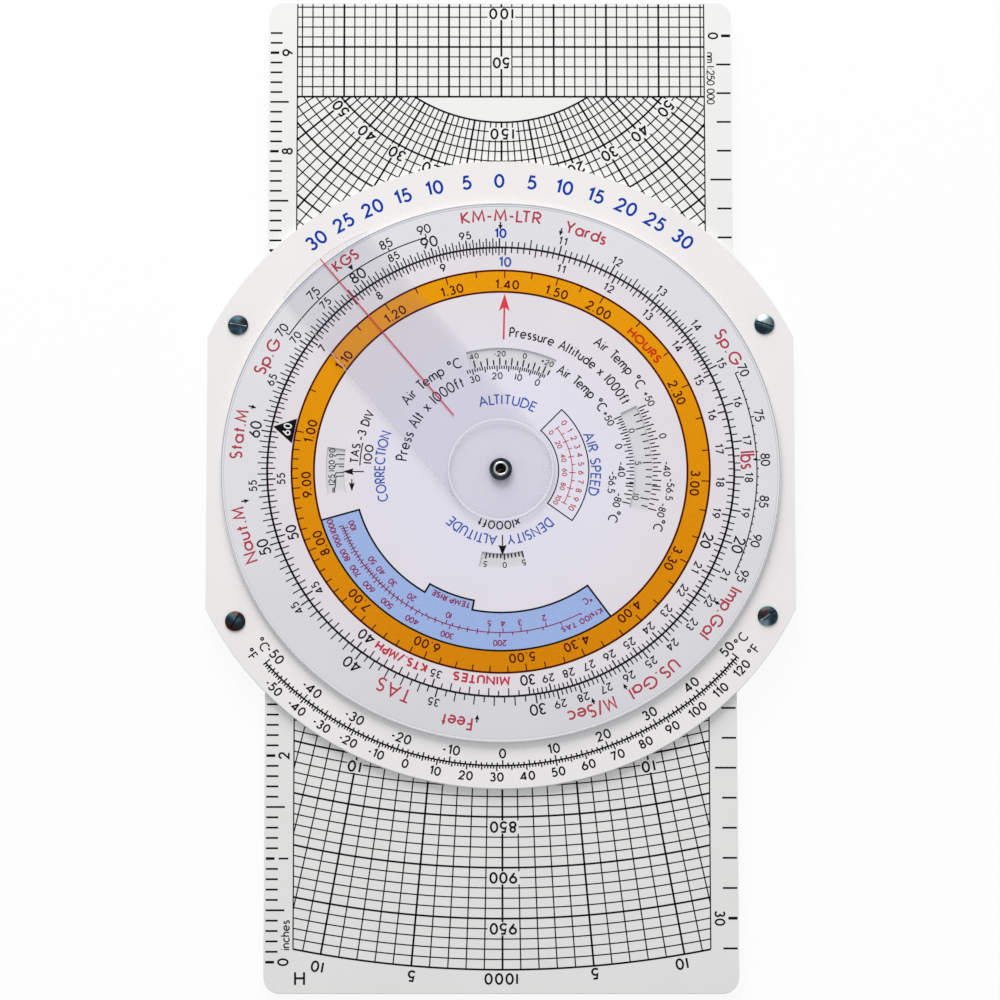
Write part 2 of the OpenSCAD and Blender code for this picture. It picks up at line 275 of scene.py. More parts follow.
class Ink:
    """Flat shapes of one colour on one face of a solid, made into one thin closed mesh."""

    def __init__(self, name, node, material, facing=1, layer=0, at=(0, 0), face_z=None):
        self.name, self.material = name, material
        self.body, self.slot, self.turn = node_bodies[node], node_slots[node], NODE_TURNS.get(node, 0)
        self.facing, self.layer, self.at = facing, layer, at
        self.face_z = face_of(node, facing) if face_z is None else face_z
        self.vertices, self.faces = [], []
        self.level = 1
        prints.append(self)

    def strip(self, left, right, closed=False):
        """A flat strip between two edges."""
        first, count = len(self.vertices), len(left)
        for one, other in zip(left, right):
            self.vertices += [(*one, self.level), (*other, self.level), (*other, 0), (*one, 0)]
        for i in range(count if closed else count - 1):
            here, there = first + 4 * i, first + 4 * ((i + 1) % count)
            for k in range(4):
                m = (k + 1) % 4
                self.faces.append((here + k, here + m, there + m, there + k))
        if not closed:
            last = first + 4 * (count - 1)
            self.faces.append((first, first + 3, first + 2, first + 1))
            self.faces.append((last, last + 1, last + 2, last + 3))

    def fill(self, outline):
        pairs = zip(outline, outline[1:] + outline[:1])
        if sum(a[0] * b[1] - b[0] * a[1] for a, b in pairs) < 0:
            outline = outline[::-1]
        first, count = len(self.vertices), len(outline)
        self.vertices += [(*p, self.level) for p in outline] + [(*p, 0) for p in outline]
        self.faces.append(tuple(range(first, first + count)))
        self.faces.append(tuple(range(first + 2 * count - 1, first + count - 1, -1)))
        for i in range(count):
            j = (i + 1) % count
            self.faces.append((first + i, first + count + i, first + count + j, first + j))

    def line(self, path, width, closed=False):
        self.strip(*mitred_sides(path, width, closed), closed)

    def arc(self, radius, start, end, width, centre=(0, 0)):
        self.band(radius - width / 2, radius + width / 2, start, end, centre)

    def band(self, inner, outer, start=0, end=360, centre=(0, 0)):
        whole = abs(end - start) >= 360
        angles = arc_angles(outer, start, end)
        if whole:
            angles = angles[:-1]
        edges = [[on_circle(radius, a, centre) for a in angles] for radius in (outer, inner)]
        self.strip(*edges, whole)

    def tick(self, inner, outer, angle, width, centre=(0, 0)):
        self.line([on_circle(inner, angle, centre), on_circle(outer, angle, centre)], width)

    def crescent(self, radius, width, widest, least=0.1):
        """A closed line round the pivot, widest at one angle and down to its least share opposite."""
        angles = range(0, 360, CRESCENT_STEP)
        shares = [(1 + math.cos(math.radians(a - widest))) / 2 for a in angles]
        halves = [width / 2 * (least + (1 - least) * share) for share in shares]
        rows = list(zip(angles, halves))
        edges = [[on_circle(radius + side * half, a) for a, half in rows] for side in (1, -1)]
        self.strip(*edges, closed=True)

    def arrow(self, tail, tip, width, head_l, head_w, notch_at=NOTCH):
        tail, tip = Vector(tail), Vector(tip)
        along = (tip - tail).normalized()
        side = Vector((-along.y, along.x)) * head_w / 2
        barbs = tip - along * head_l
        notch = tip - along * head_l * notch_at
        self.line([tuple(tail), tuple(notch)], width)
        self.fill([tuple(tip), tuple(barbs + side), tuple(notch), tuple(barbs - side)])

    def glyph(self, sign, centre, height, stroke, angle, stretch=1.0):
        """One sign, its middle at the centre and its top pointing at the angle."""
        width, strokes = GLYPHS[sign]
        rise = (height - stroke) / CAP_H
        run = rise * stretch
        for self.level, pen in enumerate(strokes, 1):
            path = [moved(centre, angle, (x - width / 2) * run, (y - CAP_H / 2) * rise) for x, y in pen]
            closed = math.dist(path[0], path[-1]) < SAME_POINT
            self.line(path[:-1] if closed else path, stroke, closed)
        self.level = 1

    def write(self, text, centre, height, stroke, angle=0.0, gap=LETTER_GAP):
        """A straight line of text, its middle at the centre."""
        widths = sign_widths(text, height - stroke)
        step = gap * height
        along = -(sum(widths) + step * (len(text) - 1)) / 2
        for sign, width in zip(text, widths):
            self.glyph(sign, moved(centre, angle, along + width / 2), height, stroke, angle)
            along += width + step

    def number(self, text, radius, angle, height, stroke, inward=False, gap=LETTER_GAP):
        """A number across a radius, its top pointing away from the pivot or towards it."""
        turn = angle + 180 if inward else angle
        self.write(str(text), on_circle(radius, angle), height, stroke, turn, gap)

    def around(self, text, radius, start, end, height, stroke):
        """Words along a circle that fill the turn from start to end."""
        widths = sign_widths(text, height - stroke)
        pairs = [one + other for one, other in zip(text, text[1:])]
        gaps = [(WORD_GAP + KERNS.get(pair, 0)) * height for pair in pairs] + [0]
        length = math.radians(end - start) * radius
        stretch = (length - stroke) / (sum(widths) + sum(gaps))
        along = stroke / 2
        for sign, width, gap in zip(text, widths, gaps):
            angle = start + math.degrees((along + width * stretch / 2) / radius)
            self.glyph(sign, on_circle(radius, angle), height, stroke, angle, stretch)
            along += (width + gap) * stretch

    def make(self):
        """Makes the piece, on the body of the solid that it lies on."""
        high = INK_PROUD + self.layer * LAYER_RISE
        placed = []
        for x, y, level in self.vertices:
            px, py = moved(self.at, self.turn, x, y)
            rise = high + (level - 1) * STROKE_RISE if level else -INK_SUNK
            placed.append((px * self.facing * MM, py * MM, (self.face_z + self.facing * rise) * MM))
        mesh = bpy.data.meshes.new(self.name)
        mesh.from_pydata(placed, [], self.faces)
        mesh.materials.append(materials[self.material])
        piece = add_object(self.name, mesh)
        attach(piece, self.body)


# Materials

PLATE_WHITE = "F1EFEE"
CURSOR_VIOLET = "504E90"
WHITE = (1, 1, 1, 1)

# Roughness of plain sheets, smoother sheets and wiped clear pieces
MATT, SATIN, WIPED = (0.34, 0.46), (0.26, 0.36), (0.1, 0.2)

# The usual range of a noise, and the part of it that patchy steel colours run over
NOISE_LOW, NOISE_HIGH = 0.3, 0.7
PATCH_LOW, PATCH_HIGH = 0.34, 0.66


def shade(code, factor=1.0):
    """Scene-linear colour of a hex code, lighter or darker by a factor."""
    parts = [int(code[i:i + 2], 16) / 255 for i in (0, 2, 4)]
    linear = [p / 12.92 if p <= 0.04045 else ((p + 0.055) / 1.055) ** 2.4 for p in parts]
    return [min(1.0, part * factor) for part in linear] + [1.0]


def stops_of(codes, low=0.0, high=1.0):
    """Evenly spread stops of a colour ramp."""
    return list(zip(evenly(low, high, len(codes) - 1), map(shade, codes)))


class Look:
    """A material or world in the making: its main shader and the nodes that feed it."""

    def __init__(self, name, kind=bpy.data.materials, shader="Principled BSDF"):
        self.data = kind.new(name)
        self.data.use_nodes = True
        self.tree = self.data.node_tree
        self.shader = self.tree.nodes[shader]

    def plug(self, node, sockets):
        """Links each output to its socket, and sets each plain value on the socket itself."""
        for name, value in sockets.items():
            if isinstance(value, bpy.types.NodeSocket):
                self.tree.links.new(value, node.inputs[name])
            else:
                node.inputs[name].default_value = value

    def add(self, kind, sockets, output=0, **settings):
        """Adds a node and gives one of its outputs."""
        node = self.tree.nodes.new("ShaderNode" + kind)
        for name, value in settings.items():
            setattr(node, name, value)
        self.plug(node, sockets)
        return node.outputs[output]

    def finished(self, sockets):
        self.plug(self.shader, sockets)
        return self.data

    def swapped(self, share, other, end):
        """Shows another shader in place of a share of the main one."""
        mix = self.add("MixShader", {0: share, 1: self.shader.outputs[0], 2: other})
        self.plug(self.tree.nodes[end], {"Surface": mix})

    def combined(self, operation, one, other):
        return self.add("Math", {0: one, 1: other}, operation=operation)

    def spot(self):
        return self.add("TexCoord", {}, "Object")

    def noise(self, scale, detail, stretch=(1, 1, 1)):
        """Noise in the object's own metres, stretched along its axes."""
        spot = self.add("Mapping", {"Vector": self.spot(), "Scale": stretch})
        return self.add("TexNoise", {"Vector": spot, "Scale": scale, "Detail": detail}, "Fac")

    def ramp(self, factor, stops):
        colour = self.add("ValToRGB", {"Fac": factor}, "Color")
        elements = colour.node.color_ramp.elements
        while len(elements) < len(stops):
            elements.new(0.5)
        for element, (position, tone) in zip(elements, stops):
            element.position = position
            element.color = tone
        return colour

    def ranged(self, value, low, high, start, end):
        """Runs from start to end while a value goes from low to high."""
        limits = {"From Min": low, "From Max": high, "To Min": start, "To Max": end}
        return self.add("MapRange", {"Value": value, **limits}, "Result")

    def spread(self, noise, start, end):
        return self.ranged(noise, NOISE_LOW, NOISE_HIGH, start, end)

    def fade(self, length, low, high, start=0.0, end=1.0):
        return self.ranged(length, low * MM, high * MM, start, end)

    def bump(self, height, strength, distance):
        return self.add("Bump", {"Height": height, "Strength": strength, "Distance": distance * MM})

    def along(self, direction):
        """How far along a direction a spot lies in its object."""
        sockets = {0: self.spot(), 1: direction}
        return self.add("VectorMath", sockets, "Value", operation="DOT_PRODUCT")

    def from_pivot(self):
        """How far a spot lies from the pivot's axis."""
        flat = self.add("Mapping", {"Vector": self.spot(), "Scale": (1, 1, 0)})
        return self.add("VectorMath", {0: flat}, "Value", operation="LENGTH")

    def tinted(self, codes, place, cloud, least, most):
        """A colour that goes through the codes along a place, laid unevenly."""
        stops = stops_of(codes if len(codes) > 1 else codes * 2)
        tint = self.ramp(place(self) if place else cloud, stops)
        sockets = {"Vector": tint, "Scale": self.spread(cloud, least, most)}
        return self.add("VectorMath", sockets, "Vector", operation="SCALE")


def climb(low, high):
    """Gives the way up the face between two heights."""
    return lambda look: look.fade(look.along((0, 1, 0)), low, high)


def out_dial(look):
    """Painted light: paler under the hub washer, to lift the darkness that the stacked clear layers
    leave there. Past it, the tint goes from the inner one to the outer one.
    """
    reach = look.from_pivot()
    past_hub = look.fade(reach, hub_r, hub_r + 0.1)
    return look.combined("MULTIPLY", past_hub, look.fade(reach, 24, 47, 0.5, 1.0))


def cursor_top(look):
    """Keeps the tint on the strip's upper face, away from the washer that touches its lower one."""
    return look.fade(look.along((0, 0, 1)), 6.2, 6.7)


def cursor_right(look):
    """Thins the tint along the strip's right edge."""
    right, _ = axes(CURSOR_SET)
    return look.fade(look.along((*right, 0)), 10.6, 13.3, 1.0, 0.5)


def washer_low(look):
    """Keeps the tint on the washer's lower face."""
    return look.fade(look.along((0, 0, 1)), 5.9, 6.0, 1.0, 0.0)


def sheet_material(name, codes, place, roughness):
    """Satin plastic sheet: cloudy tone, rubbed patches and a fine calendered grain."""
    look = Look(f"{name}_plastic_sheet")
    return look.finished({
        "Base Color": look.tinted(codes, place, look.noise(55, 4), 0.98, 1.01),
        "Roughness": look.spread(look.noise(420, 5, (1, 0.25, 1)), *roughness),
        "Normal": look.bump(look.noise(5200, 2), 0.08, 0.02),
        "Specular IOR Level": 0.35,
    })


def ink_material(name, codes):
    """Screen-printed ink: a slightly uneven film with a soft sheen. Two colours climb the dial, darker
    towards the bottom: painted shade.
    """
    look = Look(f"{name}_ink")
    film = look.noise(2600, 3)
    place = climb(-46, 46) if len(codes) > 1 else None
    return look.finished({
        "Base Color": look.tinted(codes, place, film, 0.92, 1.1),
        "Roughness": look.spread(film, 0.4, 0.55),
        "Normal": look.bump(film, 0.05, 0.01),
        "Specular IOR Level": 0.06,
    })


def clear_material(name, code, alpha, roughness, *masks):
    """Clear sheet plastic with wiping marks. Each mask thins its tint somewhere."""
    look = Look(f"clear_{name}_plastic")
    haze = look.noise(30, 2)
    film = look.spread(haze, *alpha)
    for mask in masks:
        film = look.combined("MULTIPLY", film, mask(look))
    tones = [(NOISE_LOW, shade(code, 0.97)), (NOISE_HIGH, shade(code, 1.03))]
    return look.finished({
        "Base Color": look.ramp(haze, tones),
        "Roughness": look.spread(look.noise(900, 4, (1, 0.08, 1)), *roughness),
        "Alpha": film,
        "Specular IOR Level": 0.5,
    })


def plated_material(name, colour, roughness):
    """Plated steel with fine turned marks."""
    look = Look(f"{name}_plating")
    marks = look.noise(6500, 3, (1, 0.06, 1))
    return look.finished({
        "Base Color": colour(look),
        "Roughness": look.spread(marks, *roughness),
        "Normal": look.bump(marks, 0.15, 0.01),
        "Metallic": 1.0,
    })


def eyelet_colour(look):
    """A dark bore, which is painted shade, a bright crown and a duller outer curl."""
    reach = look.fade(look.from_pivot(), 0, 2.5)
    uneven = look.combined("ADD", reach, look.spread(look.noise(700, 2), -0.02, 0.02))
    return look.ramp(uneven, [
        # The near-black and dark brown stops paint the shade inside the bore
        (0.44, shade("0D0C0C")), (0.5, shade("33241E")), (0.56, shade("DDDCD8")),
        (0.68, shade("C8C7C4")), (0.76, shade("77787A")), (0.95, shade("98989A")),
    ])


def washer_colour(look):
    """A dark, patchy tarnish."""
    stops = stops_of(("1F252B", "333B44", "4C5761"), PATCH_LOW, PATCH_HIGH)
    return look.ramp(look.noise(520, 2), stops)


def screw_colour(look):
    """Painted reflections: patches of brown, teal and pale grey, browner towards the lower left and
    paler towards the upper right.
    """
    stops = stops_of(("40241D", "2A3C44", "44616D", "8FA0A7"), PATCH_LOW, PATCH_HIGH)
    shift = look.fade(look.along((0.8, 0.6, 0)), -74, 74, -0.15, 0.09)
    return look.ramp(look.combined("ADD", look.noise(260, 2), shift), stops)


# Colours from low to high or from inside to outside, the way that they run, and roughness
SHEETS = {
    "white": ((PLATE_WHITE,), None, MATT),
    # The slide runs darker towards the bottom: painted shade
    "slide": (("E7E8E6", "F1F2F0"), climb(-110, 110), MATT),
    # The ring sheet runs darker over its lower part: painted shade
    "scale": (("DBDBDF", "E3E3E7"), climb(-65, -5), SATIN),
    "window": (("DAD9DD",), None, MATT),
    # The dial's palest tint, under the hub washer, is painted light
    "dial": (("EEECF9", "E6E4F1", "E5E1E5"), out_dial, SATIN),
}

# Colour, alpha, roughness and masks
CLEAR_PIECES = {
    "cursor": (CURSOR_VIOLET, (0.08, 0.115), (0.08, 0.2), cursor_top, cursor_right),
    "washer": (CURSOR_VIOLET, (0.001, 0.004), WIPED, washer_low),
    # The rim film paints a highlight round the hub washer's edge
    "rim": ("F4F3FC", (0.75, 0.95), WIPED),
    # The edge film paints a highlight along the cursor's cut edge
    "edge": ("DCDCE6", (0.3, 0.5), WIPED),
    "disc": ("E6E9F0", (0.1, 0.16), (0.25, 0.4)),
}

# Colours of the print as they look under white light, and of the painted shade and highlights on the
# ring's rim and in the screw slots
INKS = {
    # The grey rim colour is painted shade; the white also paints highlights on the ring's rim and in the
    # screw slots, and the black paints shade in the slots
    "black": ("0C0C0E",), "white": (PLATE_WHITE,), "rim_painted_shade": ("BDBFC5",), "brown": ("4E0000",),
    "red": ("C62E46",), "arrow_red": ("DE3E50",), "ring_red": ("B43C50",), "band_red": ("CC3410",),
    "wine": ("8A1C52",), "blue": ("0B3AA8",), "pale_blue": ("3E5CB0",), "panel_blue": ("9FB6E6",),
    # The orange runs darker towards the bottom of the dial: painted shade
    "orange": ("D98700", "E99B00"),
}

materials = {
    "eyelet_steel": plated_material("eyelet", eyelet_colour, (0.2, 0.34)),
    "dark_steel": plated_material("washer", washer_colour, (0.3, 0.42)),
    "screw_steel": plated_material("screw", screw_colour, (0.24, 0.38)),
    **{f"{name}_sheet": sheet_material(name, *row) for name, row in SHEETS.items()},
    **{f"clear_{name}": clear_material(name, *row) for name, row in CLEAR_PIECES.items()},
    **{f"{name}_ink": ink_material(name, codes) for name, codes in INKS.items()},
}


def dress_nodes():
    """Gives each solid the finish of its slot in the record. The hub washer gets a fainter one."""
    for node, slot in node_slots.items():
        finish = "clear_washer" if node == "cursor_hub_washer" else slot
        for place in frame["nodes"][node].material_slots:
            place.material = materials[finish]


# Wind slide

GRID_AXIS = 0.3
GRID_HALF_W = 49.85
GRID_LEFT, GRID_RIGHT = GRID_AXIS / 2 - GRID_HALF_W, GRID_AXIS / 2 + GRID_HALF_W
GRID_HAIR = 0.3
GRID_STEP = 0.5
SQUARE_BASE = 100.75
SQUARE_TOP = 124.68
REAR_TOP = 124.1
SQUARE_PITCH = 2.57
NUMBER_H = 2.9
NUMBER_STROKE = 0.48
GAP_PAD = 0.3
SPEED_SHIFT = 0.2
HALVINGS = 10

# Height of each grid's centre and the length of one unit of speed
FRONT_CENTRE, FRONT_UNIT = 131.65, 0.25
REAR_CENTRE, REAR_UNIT = 154.9, 0.9

# Numbers of drift on both sides of the front grid: drift, distance from its centre and shift
DRIFT_SHIFT = (0.45, -0.55)
DRIFT_NUMBERS = [(drift, 52, DRIFT_SHIFT) for drift in (20, 30, 40, 50)] + [(10, 203.1, (-0.2, 0))]

# Numbers at the foot of the front grid: text, across and up
FOOT_NUMBERS = (
    ("10", -43.9, -117.6), ("5", -21.4, -119.9), ("1000", 0, -120.6),
    ("5", 22.4, -119.3), ("10", 43.1, -116.9),
)


def grid_w(value, heavy):
    """The width of a grid line, bolder at every heavy value."""
    return BOLD if value % heavy == 0 else GRID_HAIR


class WindGrid:
    """Speed arcs and drift lines on one face of the slide, broken round their numbers."""

    def __init__(self, ink, centre_y, scale):
        self.ink, self.scale = ink, scale
        self.centre = (GRID_AXIS, centre_y)
        self.gaps = []

    def label(self, text, spot, angle, height=NUMBER_H):
        gap = scale_gap(text)
        text = plain_ones(text)
        half_w = (sum(sign_widths(text, height)) + gap * height * (len(text) - 1)) / 2 + GAP_PAD
        self.gaps.append((spot, half_w, height / 2 + GAP_PAD / 2, axes(angle)))
        self.ink.write(text, spot, height, NUMBER_STROKE, angle, gap)

    def drift_label(self, drift, radius, shift):
        angle = 180 - drift
        x, y = on_circle(radius, angle, self.centre)
        self.label(abs(drift), (x + shift[0], y + shift[1]), angle)

    def clear(self, point):
        """Whether a line may be drawn here: inside the borders and off every number."""
        x, y = point
        if abs(x - GRID_AXIS / 2) > GRID_HALF_W:
            return False
        for spot, half_w, half_h, (right, up) in self.gaps:
            dx, dy = x - spot[0], y - spot[1]
            if dx * dx + dy * dy > half_w * half_w + half_h * half_h:
                continue
            across = dx * right[0] + dy * right[1]
            rise = dx * up[0] + dy * up[1]
            if abs(across) < half_w and abs(rise) < half_h:
                return False
        return True

    def runs(self, point_at, start, end, step, ceiling=None):
        """Stretches of a line, by its parameter, that may be drawn."""
        def free(t):
            point = point_at(t)
            return self.clear(point) and (ceiling is None or point[1] < ceiling)

        def edge(inside, outside):
            for _ in range(HALVINGS):
                middle = (inside + outside) / 2
                inside, outside = (middle, outside) if free(middle) else (inside, middle)
            return inside

        marks = evenly(start, end, max(2, math.ceil((end - start) / step)))
        found, opened = [], None
        for before, mark in zip([None] + marks, marks):
            if free(mark) and opened is None:
                opened = mark if before is None else edge(mark, before)
            elif not free(mark) and opened is not None:
                found.append((opened, edge(before, mark)))
                opened = None
        if opened is not None:
            found.append((opened, end))
        return [run for run in found if run[1] - run[0] > step / 4]

    def speed_arc(self, speed, width, ceiling):
        radius = self.scale * speed
        step = math.degrees(GRID_STEP / radius)
        for start, end in self.runs(lambda a: on_circle(radius, a, self.centre), 95, 265, step, ceiling):
            self.ink.arc(radius, start, end, width, self.centre)

    def drift_line(self, drift, first, last, width, ceiling=None):
        angle = 180 - drift
        runs = self.runs(lambda r: on_circle(r, angle, self.centre), first, last, GRID_STEP, ceiling)
        for start, end in runs:
            self.ink.tick(start, end, angle, width, self.centre)

    def straight(self, start, end, width):
        start, end = Vector(start), Vector(end)
        reach = (end - start).length

        def spot(t):
            return tuple(start.lerp(end, t / reach))

        for first, last in self.runs(spot, 0, reach, GRID_STEP):
            self.ink.line([spot(first), spot(last)], width)

    def squares(self, base, top):
        """Squared part above the base line."""
        across = int(GRID_HALF_W / SQUARE_PITCH)
        for k in range(-across, across + 1):
            x = GRID_AXIS + k * SQUARE_PITCH
            self.straight((x, base), (x, top), grid_w(k, 5))
        for k in range(int((top - base) / SQUARE_PITCH) + 1):
            y = base + k * SQUARE_PITCH
            self.straight((GRID_LEFT, y), (GRID_RIGHT, y), grid_w(k, 5))

    def net(self, speeds, heavy, change, wide, close, ceiling, top):
        """Side borders, speed arcs and drift lines, which stand closer past a change of speed."""
        first_r, change_r, last_r = [self.scale * speed for speed in (speeds[0], change, speeds[-1])]
        foot = self.centre[1] - math.sqrt(last_r ** 2 - GRID_HALF_W ** 2)
        for x in (GRID_LEFT, GRID_RIGHT):
            self.ink.line([(x, foot), (x, top)], GRID_HAIR)
        for speed in speeds:
            self.speed_arc(speed, grid_w(speed, heavy), ceiling)
        for drift in range(-wide, wide + 1, 2):
            self.drift_line(drift, first_r, change_r, grid_w(drift, 10), ceiling)
        for drift in range(-close, close + 1):
            self.drift_line(drift, change_r, last_r, grid_w(drift, 5))


def slide_front():
    ink = Ink("slide_front_print", "wind_slide", "black_ink", at=slide_middle)
    grid = WindGrid(ink, FRONT_CENTRE, FRONT_UNIT)
    centre_x, centre_y = grid.centre
    for text, y in (("50", 109.5), ("100", 122.2)):
        grid.label(text, (centre_x, y), 180)
    for speed in range(150, 1000, 50):
        lead = 12 if speed == 150 else 10
        grid.label(speed, (centre_x + SPEED_SHIFT, centre_y - grid.scale * (speed + lead)), 180)
    for drift, radius, shift in DRIFT_NUMBERS:
        grid.drift_label(drift, radius, shift)
        grid.drift_label(-drift, radius, shift)
    grid.squares(SQUARE_BASE, SQUARE_TOP)
    speeds = range(150, 1001, 10)
    grid.net(speeds, heavy=50, change=400, wide=58, close=30, ceiling=SQUARE_BASE, top=SQUARE_TOP)
    for text, x, y in FOOT_NUMBERS:
        drift = math.degrees(math.atan2(x, centre_y - y))
        ink.write(plain_ones(text), (x, y), NUMBER_H, NUMBER_STROKE, 180 - drift, 0.33)
    ink.glyph("H", (-48.1, -120.5), 3.6, 0.5, 0, 1.15)
    inch_rule(ink)
    chart_rule(ink)


def inch_rule(ink):
    """Tenths of an inch up the left edge."""
    edge = slide_low.x + 0.45
    zero, inch = -116.5, 25.4
    for tenth in range(93):
        y = zero + tenth * inch / 10
        length = by_tens(tenth, 2.1, 4.5, 2.9)
        ink.line([(edge, y), (edge + length, y)], 0.65 if tenth % 10 == 0 else BOLD)
        if tenth % 10 == 0:
            ink.write(plain_ones(tenth // 10), (-52.1, y), 2.75, 0.44, -90)
    ink.write("inches", (-51.6, -109.9), 2.25, 0.31, -90, 0.2)


def chart_rule(ink):
    """Chart miles down the right edge."""
    edge = slide_high.x - 0.3
    zero, mile = 116.5, 7.408
    for step in range(32):
        y = zero - step * mile
        length = by_tens(step, 2.2, 5.1, 3.45)
        ink.line([(edge - length, y), (edge, y)], 0.7 if step % 10 == 0 else BOLD)
        if step % 10 == 0:
            ink.write(plain_ones(step), (52.25, y), 2.6, 0.43, 90)
    ink.write(plain_ones("nm 1:250 000"), (51.6, 105.5), 2.0, 0.28, 90, 0.135)


def slide_back():
    """Low-speed grid on the slide's rear face."""
    ink = Ink("slide_rear_print", "wind_slide", "black_ink", facing=-1, at=slide_middle)
    grid = WindGrid(ink, REAR_CENTRE, REAR_UNIT)
    centre_x, centre_y = grid.centre
    for speed in range(40, 300, 10):
        grid.label(speed, (centre_x, centre_y - grid.scale * (speed + 2)), 180, 2.4)
    ink.line([(GRID_LEFT, REAR_TOP), (GRID_RIGHT, REAR_TOP)], BOLD)
    speeds = range(40, 301, 2)
    grid.net(speeds, heavy=10, change=130, wide=54, close=25, ceiling=REAR_TOP, top=REAR_TOP)


# Front plate

TEMPERATURE_CENTRE = (-0.57, 1.0)
TEMPERATURE_R = 74.3
TEMPERATURE_ZERO = 179.25
CELSIUS_TURN = 0.994
CELSIUS_END = 50

# Signs at the ends of the two temperature scales: text, radius and angle
TEMPERATURE_SIGNS = (
    ("°C", 72.5, 126.3), ("°C", 72.0, 232.1), ("°F", 76.5, 126.6), ("°F", 75.6, 231.9),
)


def plate_print():
    ink = Ink("plate_black_print", "front_plate", "black_ink", at=TEMPERATURE_CENTRE)
    end_turn = CELSIUS_END * CELSIUS_TURN
    ink.arc(TEMPERATURE_R, TEMPERATURE_ZERO - end_turn, TEMPERATURE_ZERO + end_turn, 0.4)
    for celsius in range(-CELSIUS_END, CELSIUS_END + 1):
        temperature_mark(ink, celsius, celsius, -1, 3.0, 2.5)
    for fahrenheit in range(-58, 123):
        temperature_mark(ink, fahrenheit, (fahrenheit - 32) / 1.8, 1, 2.8, 2.35)
    for text, radius, angle in TEMPERATURE_SIGNS:
        ink.number(text, radius, angle, 2.5, FINE, inward=True)

    title = Ink("plate_blue_print", "front_plate", "blue_ink")
    for step in range(-6, 7):
        title.number(abs(step) * 5, plate_r - 5.0, step * 6.2 - 0.2, 3.65, 0.6)


def temperature_mark(ink, value, celsius, side, number_off, height):
    """One mark on the inner or outer side of the temperature line, with its number at the tens."""
    angle = TEMPERATURE_ZERO - celsius * CELSIUS_TURN
    ends = sorted((TEMPERATURE_R, TEMPERATURE_R + side * by_tens(value, 1.35, 1.1, 0.75)))
    ink.tick(*ends, angle, FINE)
    if value % 10 == 0:
        ink.number(value, TEMPERATURE_R + side * number_off, angle, height, 0.4, inward=True)


# Log scales

SCALE_TURN = -0.25
RING_GAP = 0.15
EDGE_LAP = 0.03
NUMBERED = (*range(11, 31), *range(35, 100, 5))
LARGE_NUMBERS = (20, 30, 40, 50, 60, 80, 90)

# Unit words on the ring: text, start, end, radius and height
UNIT_WORDS = (
    ("KM-M-LTR", 351.4, 368.9, 64.6, 3.2),
    ("Yards", 14.4, 23.9, 63.9, 3.3),
    ("Sp.G", 56.3, 65.0, 63.6, 3.2),
    ("lbs", 85.3, 89.7, 59.9, 3.8),
    ("Imp.Gal", 117.5, 130.6, 64.2, 3.2),
    ("US.Gal", 138.5, 151.0, 64.1, 3.2),
    ("M/Sec", 154.4, 165.4, 63.9, 3.4),
    ("Feet", 186.2, 193.0, 63.7, 3.3),
    ("TAS", 201.0, 209.3, 60.7, 3.6),
    ("Naut.M", 248.9, 261.7, 64.2, 3.2),
    ("Stat.M", 272.6, 283.7, 64.2, 3.2),
    ("Sp.G", 292.6, 301.3, 63.6, 3.2),
    ("KGS", 321.6, 327.7, 65.3, 2.9),
)

# Arrows from the unit words: angle, tail and tip
UNIT_ARROWS = (
    (0.0, 63.0, 61.0), (13.7, 63.2, 61.2), (122.5, 62.5, 60.8), (151.1, 62.5, 60.8),
    (159.0, 62.5, 60.8), (185.3, 63.2, 61.2), (262.9, 63.2, 61.2), (284.9, 63.2, 61.2),
)

# Solid pointers: radius of the tip, radius of the base, half their width and angle
UNIT_POINTERS = ((61.0, 62.1, 0.45, 87.4), (62.1, 63.5, 0.7, 324.7))


def log_turn(ratio):
    return 360 * math.log10(ratio)


def scale_angle(value):
    """Where a value stands on the face, with the small turn of the fixed print."""
    return log_turn(value / 10) + SCALE_TURN


def log_ticks():
    """Value, whether its tick is long and whether it is numbered."""
    for tenths in range(100, 1000):
        value = tenths / 10
        if tenths < 150:
            yield value, tenths % 5 == 0, tenths % 10 == 0
        elif tenths < 300 and tenths % 2 == 0:
            yield value, tenths % 10 == 0, tenths % 10 == 0
        elif tenths >= 300 and tenths % 5 == 0:
            yield value, tenths % 10 == 0, tenths % 50 == 0


def scale_numbers(ink, values, large_r, large_h, small_r):
    for value in values:
        angle = scale_angle(value)
        if value in LARGE_NUMBERS:
            ink.number(value, large_r, angle, large_h, 0.4, gap=LARGE_GAP)
        else:
            ink.number(value, small_r, angle, 2.05, 0.31, gap=scale_gap(value))


